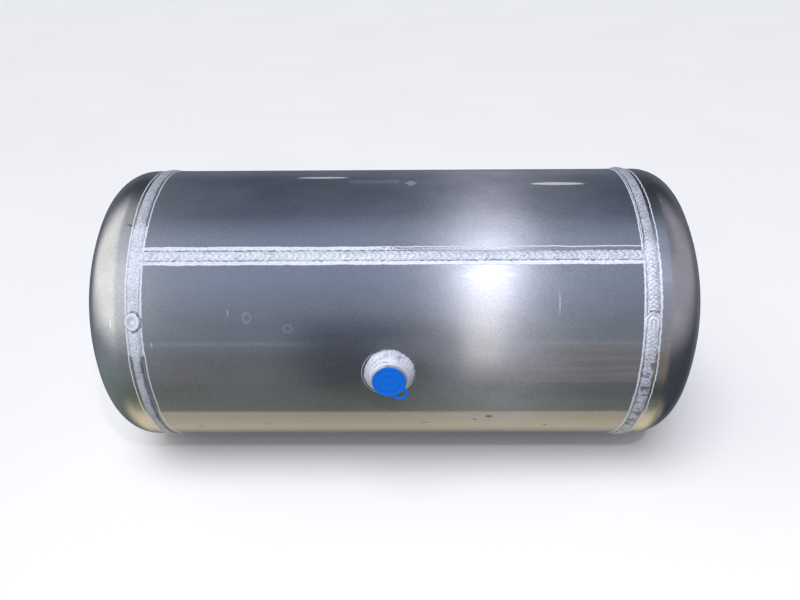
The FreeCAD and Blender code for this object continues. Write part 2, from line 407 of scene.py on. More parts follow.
def weld_piece(name, length, closed, place, relief, half_width, nodes):
    """A bead swept along a seam: a detailed top and a plain V down to its root."""
    rows = int(round(length / BEAD_STEP_ALONG))
    along = np.linspace(0, length, rows, endpoint=not closed)
    across = np.linspace(-half_width, half_width, int(2 * half_width / BEAD_STEP_ACROSS))
    s, v = np.meshgrid(along, across, indexing="ij")
    height, shade = relief(s, v)
    root = [
        (half_width, -BEAD_SIDE_DEPTH), (GROOVE_HALF_WIDTH, -BEAD_GROOVE_DEPTH),
        (ROOT_HALF_GAP, -WALL), (-ROOT_HALF_GAP, -WALL),
        (-GROOVE_HALF_WIDTH, -BEAD_GROOVE_DEPTH), (-half_width, -BEAD_SIDE_DEPTH),
    ]
    under_v = np.array([p[0] for p in root])
    under_h = np.array([p[1] for p in root])
    s_all = np.concatenate([s, np.repeat(along[:, None], len(root), 1)], 1)
    v_all = np.concatenate([v, np.repeat(under_v[None], rows, 0)], 1)
    h_all = np.concatenate([height, np.repeat(under_h[None], rows, 0)], 1)
    shades = np.concatenate([shade, np.zeros((rows, len(root)))], 1)
    columns = s_all.shape[1]
    faces = grid_faces(rows, columns, closed, True).tolist()
    if not closed:
        last = (rows - 1) * columns
        faces.append(list(range(columns)))
        faces.append([last + i for i in reversed(range(columns))])
    points = place(s_all, v_all, h_all)
    piece = mesh_piece(name, points, faces, WELD_METAL, "tank", nodes, 70.0)
    point_attribute(piece, "shade", shades)
    return piece


def along(s, v, style, cell, across, seed):
    """Noise along a seam in cells of a given length, closing on itself.

    Each use has its own seed, so that no two features of a bead move together.
    """
    cells = max(1, int(round(style["length"] / cell)))
    return lattice_noise(s / style["length"] * cells, v / across, style["seed"] + seed, cells)


def stripe(value, centre, half_width):
    """A soft line of a given half width."""
    return np.exp(-(((value - centre) / half_width) ** 2))


def bead_relief(s, v, style, zone):
    """Height and shade of a bead: rippled crown, toes darkened with painted shade, and frosted or bare
    borders.

    zone gives, for each point, the bead's half width, how frosted each border is, where
    a second line follows the bead, how much darker one side of it is, how blotched it is,
    how bright it is (on the head seams this is painted light), and how far and how
    scalloped the border reaches. Low and high are the two sides of the seam.
    """
    side = np.sign(v)
    reach = np.abs(v)
    pitches = max(1, int(round(style["length"] / style["pitch"])))
    beat = s / style["length"] * pitches
    slow = along(s, 0.5 * MM, style, 16 * MM, MM, 0)
    half = zone["half"] + 0.25 * MM * slow + style["scallop"] * np.cos(FULL_TURN * beat)
    half = half + 0.22 * MM * along(s, side * 3 * MM, style, 1.6 * MM, MM, 1)
    inside = np.clip(1 - (reach / half) ** 2.6, 0, 1)
    jitter = 0.25 * along(s, v, style, 4 * MM, 2.5 * MM, 2)
    bow = style["bow"] * (v / half) ** 2
    phase = (beat + bow + jitter) % 1.0
    scale = (1 - phase) * (1 - np.exp(-phase * 9))
    fine = (beat * 4 + bow * 3 + 2 * jitter) % 1.0
    lean = style["hatch_slope"] * v / style["pitch"]
    drift = 0.35 * along(s, v, style, 7 * MM, 4 * MM, 10)
    hatch = np.abs(np.sin(math.pi * (beat + lean + drift + jitter))
                   * np.sin(math.pi * (beat - lean + drift - jitter)))
    grit = along(s, v, style, 0.9 * MM, 0.8 * MM, 3)
    ripple = style["ripple"] * (scale - 0.45 + 0.25 * (0.5 - fine))
    ripple = ripple + style["hatch"] * (hatch - 0.35) + 0.1 * MM * grit
    body = style["crown"] * inside**0.8 + ripple * np.minimum(inside * 3, 1)
    body = np.maximum(body, 0.05 * MM)

    sway = 0.35 * MM * along(s, side * 5 * MM, style, 18 * MM, MM, 4)
    fray = along(s, side * 7 * MM, style, 1.3 * MM, MM, 5)
    bite = along(s, side * 9 * MM, style, 3.1 * MM, MM, 6)
    edge = style["edge"] + sway + style["ragged"] * (0.6 * fray + 0.4 * bite)
    edge = edge + zone["edge_scallop"] * np.abs(np.cos(math.pi * beat / 2)) * (side > 0)
    edge = edge + zone["edge_more"]
    frost = np.where(side > 0, zone["frost_high"], zone["frost_low"])
    frosted = smoothstep(0.35, 0.65, frost + 0.3 * along(s, v, style, 2.5 * MM, 1.2 * MM, 7))
    rim = smoothstep(1.3 * MM, 0.9 * MM, edge - reach)
    twin = stripe(reach, half + 1.5 * MM, 0.55 * MM)
    twin = twin * np.where(side > 0, zone["twin_high"], zone["twin_low"])
    raised = np.maximum(np.maximum(frosted, rim), smoothstep(0.3, 0.6, twin))
    border = -0.45 * MM + (0.72 * MM + 0.1 * MM * grit) * raised + 0.05 * MM * rim
    beyond = reach - edge
    border = np.where(beyond > 0, 0.3 * MM - beyond * 2.5, border)
    toe = smoothstep(0.0, 0.5 * MM, reach - half)
    height = np.where(reach < half, body, border * toe + 0.05 * MM * (1 - toe))

    # Painted light and shade: the bead's tone rises on its ripple and hatch crests and falls in their
    # valleys. The grit and the slow change are its own tone.
    tone = 0.78 + style["ripple_shade"] * (scale - 0.45) + style["hatch_shade"] * (hatch - 0.35)
    tone = tone + 0.24 * grit + 0.06 * slow
    blotch = along(s, v, style, 3.4 * MM, 3.0 * MM, 8)
    tone = tone - zone["blotch"] * smoothstep(0.15, 0.55, blotch)
    # One side of the bead is painted darker, on the lower part of the left seam.
    dark_side = zone["dark_side"] * smoothstep(0.2 * half, 0.8 * half, v + 0.5 * MM * bite)
    # Painted light: on the head seams the tone is full where the bead faces the front and its lamps,
    # and lower over the top and underneath.
    tone = tone * (1 - 0.6 * dark_side) * zone["glow"]
    # Painted shade: a dashed dark line along each toe, where the bead meets its border, is shade
    # painted into the crease.
    crease_shade_line = stripe(reach, half + 0.2 * MM, 0.6 * MM)
    dash = 0.6 + 0.4 * along(s, side * 2 * MM, style, 2.2 * MM, MM, 9)
    frost_tone = 0.9 + 0.14 * grit + 0.1 * rim - 0.12 * stripe(reach, edge - 1.7 * MM, 0.6 * MM)
    shade = np.where(reach < half, tone, frost_tone)
    shade = shade * (1 - style["crease_shade"] * crease_shade_line * np.clip(dash, 0, 1))
    return height, np.clip(shade, 0, 1)


def button_crater(height, shade, away, v, jag):
    """The left bead's stop: a round button dished in its middle, torn along its right."""
    size = 7.4 * MM
    radius = np.hypot(away / 1.15, v + 1.2 * MM)
    mask = 1 - smoothstep(0.9 * size, 1.04 * size, radius)
    profile = 1.6 * MM - 0.8 * MM * np.exp(-((radius / (3.6 * MM)) ** 2))
    tone = 0.92 - 0.25 * stripe(radius, 3.4 * MM, 1.5 * MM)
    groove = stripe(radius, 1.07 * size, 0.55 * MM)
    tear = stripe(radius, 1.14 * size + 0.9 * MM * jag, 0.6 * MM) * (v > -2.5 * MM)
    # Painted shade: the groove round the button is dipped and painted darker. The tear along its right
    # is a dark crack.
    height = height * (1 - mask) + profile * mask - 0.35 * MM * np.maximum(groove, tear) * (height > 0)
    shade = (shade * (1 - mask) + tone * mask) * (1 - 0.3 * groove) * (1 - 0.9 * tear)
    return height, np.clip(shade, 0, 1)


def arched_crater(height, shade, away, v, jag):
    """The right bead's stop: nested arches under a black ragged edge."""
    front = np.maximum(away + 1.0 * MM, 0)
    radius = np.hypot(v - 0.4 * MM, front)
    mask = window(away, -13 * MM, 9.0 * MM, 1.0 * MM)
    mask = mask * (1 - smoothstep(7.6 * MM, 8.4 * MM, radius))
    wave = np.cos(FULL_TURN * (radius + 0.3 * MM * jag) / (3.9 * MM))
    profile = 1.75 * MM + 0.25 * MM * wave - 0.1 * MM * radius / MM
    # Painted light and shade: the arches are painted lighter on their crests and darker in their
    # troughs.
    tone = 0.82 + 0.28 * wave
    fade = smoothstep(-11 * MM, -4 * MM, away) * mask
    edge = stripe(away, 9.2 * MM + 1.3 * MM * jag - 0.03 * v * v / MM, 0.7 * MM)
    edge = edge * (np.abs(v - 0.8 * MM) < 5.0 * MM)
    height = height * (1 - fade) + profile * fade - 0.4 * MM * edge * (height > 0)
    shade = (shade * (1 - fade) + tone * fade) * (1 - 0.95 * edge)
    return height, np.clip(shade, 0, 1)


HEAD_SEAM_LENGTH = FULL_TURN * BARREL_RADIUS
# In each style, the ripple and hatch tones and the crease weight set how much painted light and shade
# the ripples, the hatching and the toe lines get.
COMMON = {
    "length": HEAD_SEAM_LENGTH, "scallop": 0.12 * MM, "bow": 0.9, "hatch": 0.0,
    "hatch_slope": 0.0, "edge": 8.1 * MM, "ragged": 0.35 * MM, "ripple_shade": 0.3,
    "hatch_shade": 0.0,
}
LEFT_STYLE = dict(COMMON, seed=11, crown=1.25 * MM, ripple=0.2 * MM, pitch=3.4 * MM,
                  ripple_shade=0.22, crease_shade=0.55)
RIGHT_STYLE = dict(COMMON, seed=23, crown=1.7 * MM, ripple=0.15 * MM, hatch=0.28 * MM,
                   hatch_slope=0.75, scallop=0.2 * MM, pitch=4.2 * MM, edge=8.3 * MM,
                   ripple_shade=0.22, hatch_shade=0.22, crease_shade=0.8)
LONG_STYLE = dict(COMMON, seed=37, crown=0.75 * MM, edge=9.4 * MM, pitch=6.5 * MM,
                  ripple=0.35 * MM, scallop=0.3 * MM, ragged=0.45 * MM, crease_shade=1.1)


def window(value, low, high, soft):
    """One inside a range, zero outside, with soft ends."""
    rise = smoothstep(low - soft, low + soft, value)
    return rise * (1 - smoothstep(high - soft, high + soft, value))


def head_seam_place(seam_x):
    """Points of a seam round the barrel, from lengths along it, across it and above it."""
    def place(s, v, h):
        angle = s / BARREL_RADIUS
        radius = BARREL_RADIUS + h
        return np.stack([seam_x + v, -radius * np.cos(angle), radius * np.sin(angle)], -1)
    return place


def head_zone(s, right):
    """How a head seam's look changes round the tank, from its angle above the front."""
    angle = (np.degrees(s / BARREL_RADIUS) + 100) % 360 - 100
    # The glow below is painted light: the bead's tone is full in the band that faces the front and its
    # lamps, and lower over the top and underneath.
    front = window(angle, 8, 50 if right else 57, 3.0)
    below = window(angle, -88, 8, 3.0)
    zero = np.zeros_like(s)
    if right:
        return {
            "half": 4.6 * MM + 1.3 * MM * front + 0.9 * MM * below, "frost_low": front,
            "frost_high": front, "twin_low": 1 - 0.5 * front, "twin_high": zero,
            "dark_side": zero, "blotch": 0.1 + 0.3 * below, "edge_scallop": 0.5 * MM,
            "glow": 0.78 + 0.22 * front, "edge_more": 0.2 * MM * below,
        }
    return {
        "half": 4.9 * MM + 0.9 * MM * front, "frost_low": front, "frost_high": front,
        "twin_low": zero, "twin_high": zero, "dark_side": below, "blotch": zero,
        "edge_scallop": 0.0, "glow": 0.78 + 0.22 * front,
        "edge_more": 0.5 * MM * below,
    }


def head_weld(side, style):
    """One circumferential bead, with the stop of its weld."""
    right = side == "right"

    def relief(s, v):
        height, shade = bead_relief(s, v, style, head_zone(s, right))
        away = s - CRATER_ANGLE * BARREL_RADIUS
        jag = along(s, v, style, 1.2 * MM, 1.5 * MM, 20)
        stop = arched_crater if right else button_crater
        return stop(height, shade, away, v, jag)

    name = "head_weld_" + side
    return weld_piece(name + "_bead", HEAD_SEAM_LENGTH, True, head_seam_place(SEAM_X[side]),
                      relief, BEAD_HALF_REACH, [name])


def long_weld():
    """The straight bead between the two circumferential ones."""
    start = SEAM_X["left"] + GROOVE_HALF_WIDTH
    end = SEAM_X["right"] - GROOVE_HALF_WIDTH
    style = dict(LONG_STYLE, length=end - start)

    def place(s, v, h):
        angle = LONG_SEAM_ANGLE + v / BARREL_RADIUS
        radius = BARREL_RADIUS + h
        return np.stack([start + s, -radius * np.cos(angle), radius * np.sin(angle)], -1)

    def relief(s, v):
        far = smoothstep(170 * MM, 300 * MM, s)
        zone = {
            "half": 5.0 * MM, "frost_low": np.ones_like(s), "frost_high": 1.0 - far,
            "twin_low": 0 * s, "twin_high": window(s, 190 * MM, 330 * MM, 20 * MM),
            "dark_side": 0 * s, "blotch": 0.0, "edge_scallop": 0.0, "glow": 1.0 - 0.12 * far,
            "edge_more": 0.0,
        }
        return bead_relief(s, v, style, zone)

    return weld_piece("longitudinal_weld_bead", end - start, False, place, relief,
                      LONG_BEAD_HALF_REACH, ["longitudinal_weld"])


# ---------------------------------------------------------------- ports

class Port:
    """A port's own frame: a along the tank, b round it, c out from its axis."""

    def __init__(self, name):
        low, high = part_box(name + "_boss")
        self.name = name
        self.x = (low.x + high.x) / 2
        self.side = 1 if high.y > 0 else -1
        self.boss_top = max(abs(low.y), abs(high.y))
        self.boss_bottom = min(abs(low.y), abs(high.y))
        self.boss_radius = (high.x - low.x) / 2
        plug_low, plug_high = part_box(name + "_plug")
        self.plug_top = max(abs(plug_low.y), abs(plug_high.y))
        self.plug_bottom = min(abs(plug_low.y), abs(plug_high.y))

    def place(self, a, b, c):
        a, b, c = np.broadcast_arrays(a, b, c)
        return np.stack([self.x + a, self.side * c, -self.side * b], -1)


MINOR_RADIUS = 10.188 * MM
MAJOR_RADIUS = 11.0 * MM
THREAD_PITCH = 1.5 * MM
MOUTH_RADIUS = 11.25 * MM
MOUTH_DEPTH = 6.0 * MM
THREAD_STEP = 0.15 * MM
BOSS_CHAMFER = 0.6 * MM
TURN_STEPS = 120
FILLET_STEPS = 480
FILLET_RISE = 11.3 * MM
FILLET_TOE_RADIUS = 25.0 * MM


def boss(port):
    """Turned boss with a chamfered rim, a plain mouth and a real helical thread."""
    top, bottom, outer = port.boss_top, port.boss_bottom, port.boss_radius
    shoulder = top - MOUTH_DEPTH
    rim = BOSS_CHAMFER
    outside = [
        (MAJOR_RADIUS, bottom), (outer - rim, bottom), (outer, bottom + rim),
        (outer, top - rim), (outer - 0.2 * MM, top - 0.2 * MM), (outer - rim, top),
        (MOUTH_RADIUS + 0.5 * MM, top), (MOUTH_RADIUS, top - 0.5 * MM),
        (MOUTH_RADIUS, shoulder + 0.2 * MM), (MAJOR_RADIUS, shoulder),
    ]
    depth = MAJOR_RADIUS - MINOR_RADIUS
    levels = np.arange(shoulder - THREAD_STEP, bottom + 2 * THREAD_STEP, -THREAD_STEP)
    turn = np.linspace(0, FULL_TURN, TURN_STEPS, endpoint=False)
    rows = [np.full(TURN_STEPS, radius) for radius, _ in outside]
    heights = [level for _, level in outside]
    for level in levels:
        phase = (level / THREAD_PITCH + turn / FULL_TURN) % 1.0
        ridge = np.clip(1.35 * np.abs(2 * phase - 1) - 0.175, 0, 1)
        fade = min(1.0, (level - bottom) / MM, (shoulder - level) / MM)
        rows.append(MAJOR_RADIUS - depth * ridge * max(fade, 0.0))
        heights.append(level)
    radii = np.array(rows)
    c = np.array(heights)[:, None]
    points = port.place(radii * np.cos(turn), radii * np.sin(turn), c)
    faces = grid_faces(len(rows), TURN_STEPS, True, True)
    return mesh_piece(port.name + "_boss_turned", points, faces, BOSS_METAL, "tank",
                      [port.name + "_boss"], 30.0)


def boss_fillet(port, seed):
    """Ridged fillet bead round the boss, its ragged toe lost in the barrel's surface."""
    turn = np.linspace(0, FULL_TURN, FILLET_STEPS, endpoint=False)
    inner = port.boss_radius
    crest = BARREL_RADIUS + FILLET_RISE
    levels = np.linspace(-0.55, 1.0, 46)
    theta, u = np.meshgrid(turn, levels, indexing="ij")
    around = theta / FULL_TURN
    ragged = lattice_noise(around * 60, 0.5, seed, 60)
    fray = lattice_noise(around * 180, 1.5, seed + 1, 180)
    sway = lattice_noise(around * 9, u * 2, seed + 2, 9)
    rough_side = 0.35 + 0.65 * smoothstep(-0.3, 0.5, np.cos(theta - math.radians(40)))
    toe_here = FILLET_TOE_RADIUS + (0.6 * MM * ragged + 0.6 * MM * fray) * rough_side + 0.5 * MM * sway
    up = np.clip(u, 0, 1)
    out = np.clip(-u, 0, 1)
    radius = toe_here + (inner - toe_here) * up + out * 5.5 * MM
    surface = np.sqrt(BARREL_RADIUS**2 - (radius * np.sin(theta)) ** 2)
    bend = lattice_noise(around * 5, u * 1.5, seed + 3, 5)
    strength = 0.6 + 0.4 * lattice_noise(around * 7, u * 3, seed + 4, 7)
    ridge = np.cos(FULL_TURN * (3.4 * up + 0.9 * sway + 0.6 * bend)) * strength
    scale = (around * 44 + 0.6 * up + 0.5 * sway) % 1.0
    fish = (1 - scale) * (1 - np.exp(-scale * 9)) - 0.45
    grit = lattice_noise(around * 150, u * 20, seed + 5, 150)
    relief = 0.3 * MM * ridge + 0.16 * MM * fish + 0.12 * MM * grit
    swell = 1.0 * MM * np.sin(math.pi * up**0.8) + relief * np.minimum(up * 6, 1)
    c = surface + (crest - surface) * up**1.05 + swell * (1 - up**8)
    halo_here = smoothstep(-0.2, 0.5, np.cos(theta - math.radians(205)))
    halo = np.exp(-(((out - 0.34) / 0.06) ** 2)) * halo_here
    spatter = lattice_noise(around * 210, out * 16, seed + 6, 210) * rough_side
    spatter = smoothstep(0.5, 0.75, spatter) * smoothstep(0.5, 0.3, out) * (out > 0)
    c = c - 0.5 * MM * smoothstep(0.0, 0.12, out) + 0.85 * MM * halo + 0.95 * MM * spatter
    a = radius * np.cos(theta)
    b = radius * np.sin(theta)
    top_points = port.place(a, b, c)
    foot = inner + np.array([0.3, 10.0]) * MM
    under_a = np.cos(turn)[:, None] * foot
    under_b = np.sin(turn)[:, None] * foot
    under_c = np.sqrt(BARREL_RADIUS**2 - under_b**2) - 1.5 * MM
    under = port.place(under_a, under_b, under_c)
    points = np.concatenate([top_points, under], 1)
    columns = points.shape[1]
    faces = grid_faces(FILLET_STEPS, columns, True, True)
    # Painted light and shade: the tone rises on the ridges and scales and falls in the troughs between
    # them, with painted shade in the crease at the toe. The grit, the heat line and the spatter are
    # the bead's own tone.
    shade = 0.88 + 0.12 * ridge + 0.14 * fish + 0.26 * grit - 0.18 * stripe(ridge, -0.6, 0.2)
    crease_shade = stripe(u, 0.02, 0.03)
    shade = np.clip(shade * (1 - 0.4 * crease_shade) + 0.1 * halo + 0.5 * spatter, 0, 1)
    shades = np.concatenate([shade, np.zeros((FILLET_STEPS, 2))], 1)
    piece = mesh_piece(port.name + "_boss_fillet", points, faces, WELD_METAL, "tank",
                       [port.name + "_boss_weld"], 70.0)
    point_attribute(piece, "shade", shades)
    return piece


def lathe(profile, steps):
    """Points and faces of a solid turned from a profile that starts and ends on the axis."""
    turn = np.linspace(0, FULL_TURN, steps, endpoint=False)
    radii = np.array([p[0] for p in profile[1:-1]])[:, None]
    levels = np.array([p[1] for p in profile[1:-1]])[:, None]
    ring = np.stack(np.broadcast_arrays(radii * np.cos(turn), radii * np.sin(turn), levels), -1)
    rows = len(profile) - 2
    points = ring.reshape(-1, 3).tolist()
    faces = grid_faces(rows, steps, False, True).tolist()
    first, last = len(points), len(points) + 1
    points += [[0, 0, profile[0][1]], [0, 0, profile[-1][1]]]
    base = (rows - 1) * steps
    for i in range(steps):
        j = (i + 1) % steps
        faces.append([first, j, i])
        faces.append([last, base + i, base + j])
    return points, faces


def head_arc_points(crown_radius, knuckle_radius, tangent, edge_radius):
    """Outline of a dished head from its apex over the knuckle to its straight part."""
    aside = edge_radius - knuckle_radius
    apart = crown_radius - knuckle_radius
    join = math.asin(aside / apart)
    crown_centre = tangent - apart * math.cos(join)
    crown = [(crown_radius * math.sin(angle), crown_centre + crown_radius * math.cos(angle))
             for angle in np.linspace(0, join, CROWN_STEPS)]
    knuckle = [(aside + knuckle_radius * math.sin(angle), tangent + knuckle_radius * math.cos(angle))
               for angle in np.linspace(join, math.pi / 2, KNUCKLE_STEPS)]
    return crown + knuckle[1:]


def dished_head(side):
    """One drawn head: crown, knuckle, straight part and weld bevel, turned about the axis."""
    sign = 1 if side == "right" else -1
    seam = abs(SEAM_X[side])
    tangent = seam + HEAD_STRAIGHT
    outer = head_arc_points(CROWN_RADIUS, KNUCKLE_RADIUS, tangent, BARREL_RADIUS)
    inner = head_arc_points(CROWN_RADIUS - WALL, KNUCKLE_RADIUS - WALL, tangent,
                            BARREL_RADIUS - WALL)
    bevel = [(BARREL_RADIUS, seam + GROOVE_HALF_WIDTH),
             (BARREL_RADIUS - WALL, seam + ROOT_HALF_GAP)]
    points, faces = lathe(outer + bevel + inner[::-1], HEAD_STEPS)
    local = np.array(points)
    placed = np.stack([sign * local[:, 2], sign * local[:, 0], local[:, 1]], -1)
    name = "head_" + side
    return mesh_piece(name + "_drawn", placed, faces, HEAD_METAL, "tank", [name])


def tab_loop(direction, level, thickness):
    """Flat round-edged loop that grows out of the flange, swept round its eye."""
    centre = 17.6 * MM
    reach = 5.75 * MM
    width = 3.1 * MM
    start, end = math.radians(-152), math.radians(152)
    path = []
    for angle in np.linspace(start, end, 40):
        path.append((centre + reach * math.cos(angle), reach * 1.08 * math.sin(angle),
                     math.cos(angle), math.sin(angle)))
    section = []
    for angle in np.linspace(0, FULL_TURN, 16, endpoint=False):
        c, s = math.cos(angle), math.sin(angle)
        section.append((math.copysign(abs(c) ** 0.6, c) * width / 2,
                        math.copysign(abs(s) ** 0.6, s) * thickness / 2))
    turn = math.radians(direction)
    points = []
    for x, y, nx, ny in path:
        for offset, rise in section:
            px, py = x + nx * offset, y + ny * offset
            points.append([px * math.cos(turn) - py * math.sin(turn),
                           px * math.sin(turn) + py * math.cos(turn), level + rise])
    count = len(section)
    faces = grid_faces(len(path), count, False, True).tolist()
    last = (len(path) - 1) * count
    faces.append(list(range(count)))
    faces.append([last + i for i in reversed(range(count))])
    return points, faces


def plug(port):
    """Moulded plug: rimmed flange with a plain ring relief, finned stem and pull tab."""
    top, end = port.plug_top, port.plug_bottom
    seat = top - 2.2 * MM

    def at(radius, level):
        return (radius * MM, level)

    profile = [
        at(0, top - 0.22 * MM), at(1.3, top - 0.22 * MM), at(1.8, top - 0.36 * MM),
        at(8.5, top - 0.36 * MM), at(8.8, top - 0.22 * MM), at(9.5, top - 0.22 * MM),
        at(9.8, top - 0.36 * MM), at(14.3, top - 0.34 * MM), at(14.9, top - 0.1 * MM),
        at(15.3, top), at(15.8, top - 0.04 * MM), at(16.15, top - 0.3 * MM),
        at(16.3, top - 0.75 * MM), at(16.3, seat + 0.5 * MM), at(16.1, seat + 0.1 * MM),
        at(15.8, seat), at(10.7, seat),
    ]
    for fin in (1.2, 2.6, 4.0):
        middle = seat - fin * MM
        profile += [at(10.7, middle + 0.35 * MM), at(11.05, middle + 0.1 * MM),
                    at(11.05, middle - 0.1 * MM), at(10.7, middle - 0.5 * MM)]
    profile += [
        at(10.5, end), at(9.6, end), at(9.4, end + 0.3 * MM), at(9.4, seat - 0.2 * MM),
        at(8.9, seat + 0.4 * MM), at(0, seat + 0.4 * MM),
    ]
    points, faces = lathe(profile, PLUG_STEPS)
    loop_points, loop_faces = tab_loop(TAB_DIRECTIONS[port.name], top - 1.05 * MM, 1.5 * MM)
    offset = len(points)
    faces += [[i + offset for i in face] for face in loop_faces]
    local = np.array(points + loop_points)
    placed = port.place(local[:, 0], local[:, 1], local[:, 2])
    return mesh_piece(port.name + "_plug_moulded", placed, faces, PLUG_BLUE,
                      port.name + "_plug_body", [port.name + "_plug"], 50.0)


def dress_cad_nodes():
    """The barrel and the backing rings keep their CAD shapes and take worked metal."""
    metals = {
        "barrel": BARREL_METAL,
        "backing_ring_left": BOSS_METAL, "backing_ring_right": BOSS_METAL,
    }
    for node, metal in metals.items():
        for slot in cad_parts[node].material_slots:
            slot.material = metal


# ---------------------------------------------------------------- studio

# The room as the tank's gloss sees it, as a few plain surfaces.
FLOOR_GLOW = (0.9, 0.78, 0.55)
MOSS_SHADE = (0.15, 0.19, 0.15)
GREY_WALL = (0.28, 0.32, 0.37)
BROWN_EARTH = (0.24, 0.22, 0.22)
PALE_STRIP = (0.5, 0.5, 0.52)
DAYLIGHT = (0.5, 0.58, 0.8)
PALE_WALL = (1.25, 1.25, 1.25)
DUSK_WALL = (0.46, 0.43, 0.51)
FLOOR_DUSK = (0.35, 0.31, 0.24)
DOORWAY = (1.05, 0.97, 0.87)
DRY_EARTH = (0.42, 0.33, 0.26)
DARKNESS = (0.06, 0.07, 0.09)
BACK_SHADE = (0.15, 0.16, 0.2)

# Degrees round the tank's axis: 0 is level in front, 90 is above, -90 is underneath.
MIDDLE_ROOM = [
    (-180, BACK_SHADE), (-140, BACK_SHADE), (-115, FLOOR_GLOW), (-80, FLOOR_GLOW),
    (-77, MOSS_SHADE), (-46, MOSS_SHADE), (-42, BROWN_EARTH), (-16, BROWN_EARTH),
    (-10, GREY_WALL), (-7, PALE_STRIP), (-4, GREY_WALL), (10, GREY_WALL),
    (48, DAYLIGHT), (80, DAYLIGHT), (105, DARKNESS), (150, DARKNESS), (180, BACK_SHADE),
]
# Degrees of height, from straight down to straight up.
LEFT_ROOM = [
    (-90, FLOOR_GLOW), (-68, FLOOR_GLOW), (-52, MOSS_SHADE), (-15, GREY_WALL),
    (10, PALE_WALL), (50, PALE_WALL), (90, GREY_WALL),
]
RIGHT_ROOM = [
    (-90, FLOOR_DUSK), (-60, FLOOR_DUSK), (-55, DARKNESS), (-20, DARKNESS),
    (5, DUSK_WALL), (45, DUSK_WALL), (80, DARKNESS), (90, DARKNESS),
]
BACK_ROOM = [(-90, BACK_SHADE), (10, BACK_SHADE), (25, DARKNESS), (90, DARKNESS)]

# Soft-edged patches of the middle room. Each has two rows of limits: where it starts, is
# full, stops being full and ends, first as the sideways part of a direction and then as
# degrees round the tank's axis.
VIEWER_PATCH = ((-0.2, -0.1, 0.06, 0.16), (-65, -30, 0, 25))
DOORWAY_PATCH = ((0.06, 0.1, 0.115, 0.155), (-48, -5, 5, 50))
DRY_PATCH = ((0.1, 0.2, 0.4, 0.5), (-50, -36, -14, -6))
DITCH_PATCH = ((0.08, 0.22, 0.4, 0.5), (-66, -56, -46, -40))
VIEWER_SHADE = 0.85
# Where the middle gives way to the ends and to what is behind, as parts of a direction.
END_LIMITS = (0.3, 0.45)
BEHIND_LIMITS = (0.2, 0.7)


class RoomNodes:
    """Short ways to add nodes to the world's tree."""

    def __init__(self, tree):
        self.tree = tree

    def math(self, operation, *values):
        node = self.tree.nodes.new("ShaderNodeMath")
        node.operation = operation
        for socket, value in zip(node.inputs, values):
            if isinstance(value, bpy.types.NodeSocket):
                self.tree.links.new(value, socket)
            else:
                socket.default_value = value
        return node.outputs[0]

    def ramp(self, degrees, stops):
        """A colour for each angle, straight lines between the stops."""
        low, high = stops[0][0], stops[-1][0]
        node = self.tree.nodes.new("ShaderNodeValToRGB")
        self.tree.links.new(self.math("DIVIDE", self.math("SUBTRACT", degrees, low), high - low),
                            node.inputs[0])
        elements = node.color_ramp.elements
        for index, (angle, colour) in enumerate(stops):
            position = (angle - low) / (high - low)
            element = elements[index] if index < len(elements) - 1 else elements.new(position)
            if index == len(stops) - 1:
                elements.remove(element)
                element = elements[-1]
            element.position = position
            element.color = (*colour, 1)
        return node.outputs[0]

    def mix(self, share, first, second):
        """Two colours mixed, each an output or three plain levels."""
        node = self.tree.nodes.new("ShaderNodeMix")
        node.data_type = "RGBA"
        for index, value in ((0, share), (6, first), (7, second)):
            if isinstance(value, bpy.types.NodeSocket):
                self.tree.links.new(value, node.inputs[index])
            else:
                node.inputs[index].default_value = (*value, 1)
        return node.outputs[2]

    def band(self, value, low, low_full, high_full, high):
        """One between the full limits, falling to zero at the outer limits."""
        return self.math("MULTIPLY", self.step(value, low, low_full),
                         self.step(value, high, high_full))

    def patch(self, x, angle, limits):
        """The share of a patch in a direction."""
        across, around = limits
        return self.math("MULTIPLY", self.band(x, *across), self.band(angle, *around))

    def darken(self, colour, share):
        """The room is dim where whoever looks at the tank stands in it."""
        shade = self.math("SUBTRACT", 1.0, self.math("MULTIPLY", share, VIEWER_SHADE))
        node = self.tree.nodes.new("ShaderNodeVectorMath")
        node.operation = "SCALE"
        self.tree.links.new(colour, node.inputs[0])
        self.tree.links.new(shade, node.inputs["Scale"])
        return node.outputs[0]

    def streaks(self, x, angle):
        """Uneven ground, drawn out along the tank."""
        combine = self.tree.nodes.new("ShaderNodeCombineXYZ")
        self.tree.links.new(self.math("MULTIPLY", x, 5.0), combine.inputs[0])
        self.tree.links.new(self.math("DIVIDE", angle, 4.0), combine.inputs[1])
        noise = self.tree.nodes.new("ShaderNodeTexNoise")
        noise.inputs["Scale"].default_value = 1.0
        self.tree.links.new(combine.outputs[0], noise.inputs["Vector"])
        return noise.outputs["Fac"]

    def step(self, value, low, high):
        """Zero at low and one at high, with a soft rise or fall between."""
        node = self.tree.nodes.new("ShaderNodeMapRange")
        node.interpolation_type = "SMOOTHSTEP"
        node.inputs["From Min"].default_value = low
        node.inputs["From Max"].default_value = high
        self.tree.links.new(value, node.inputs["Value"])
        return node.outputs["Result"]


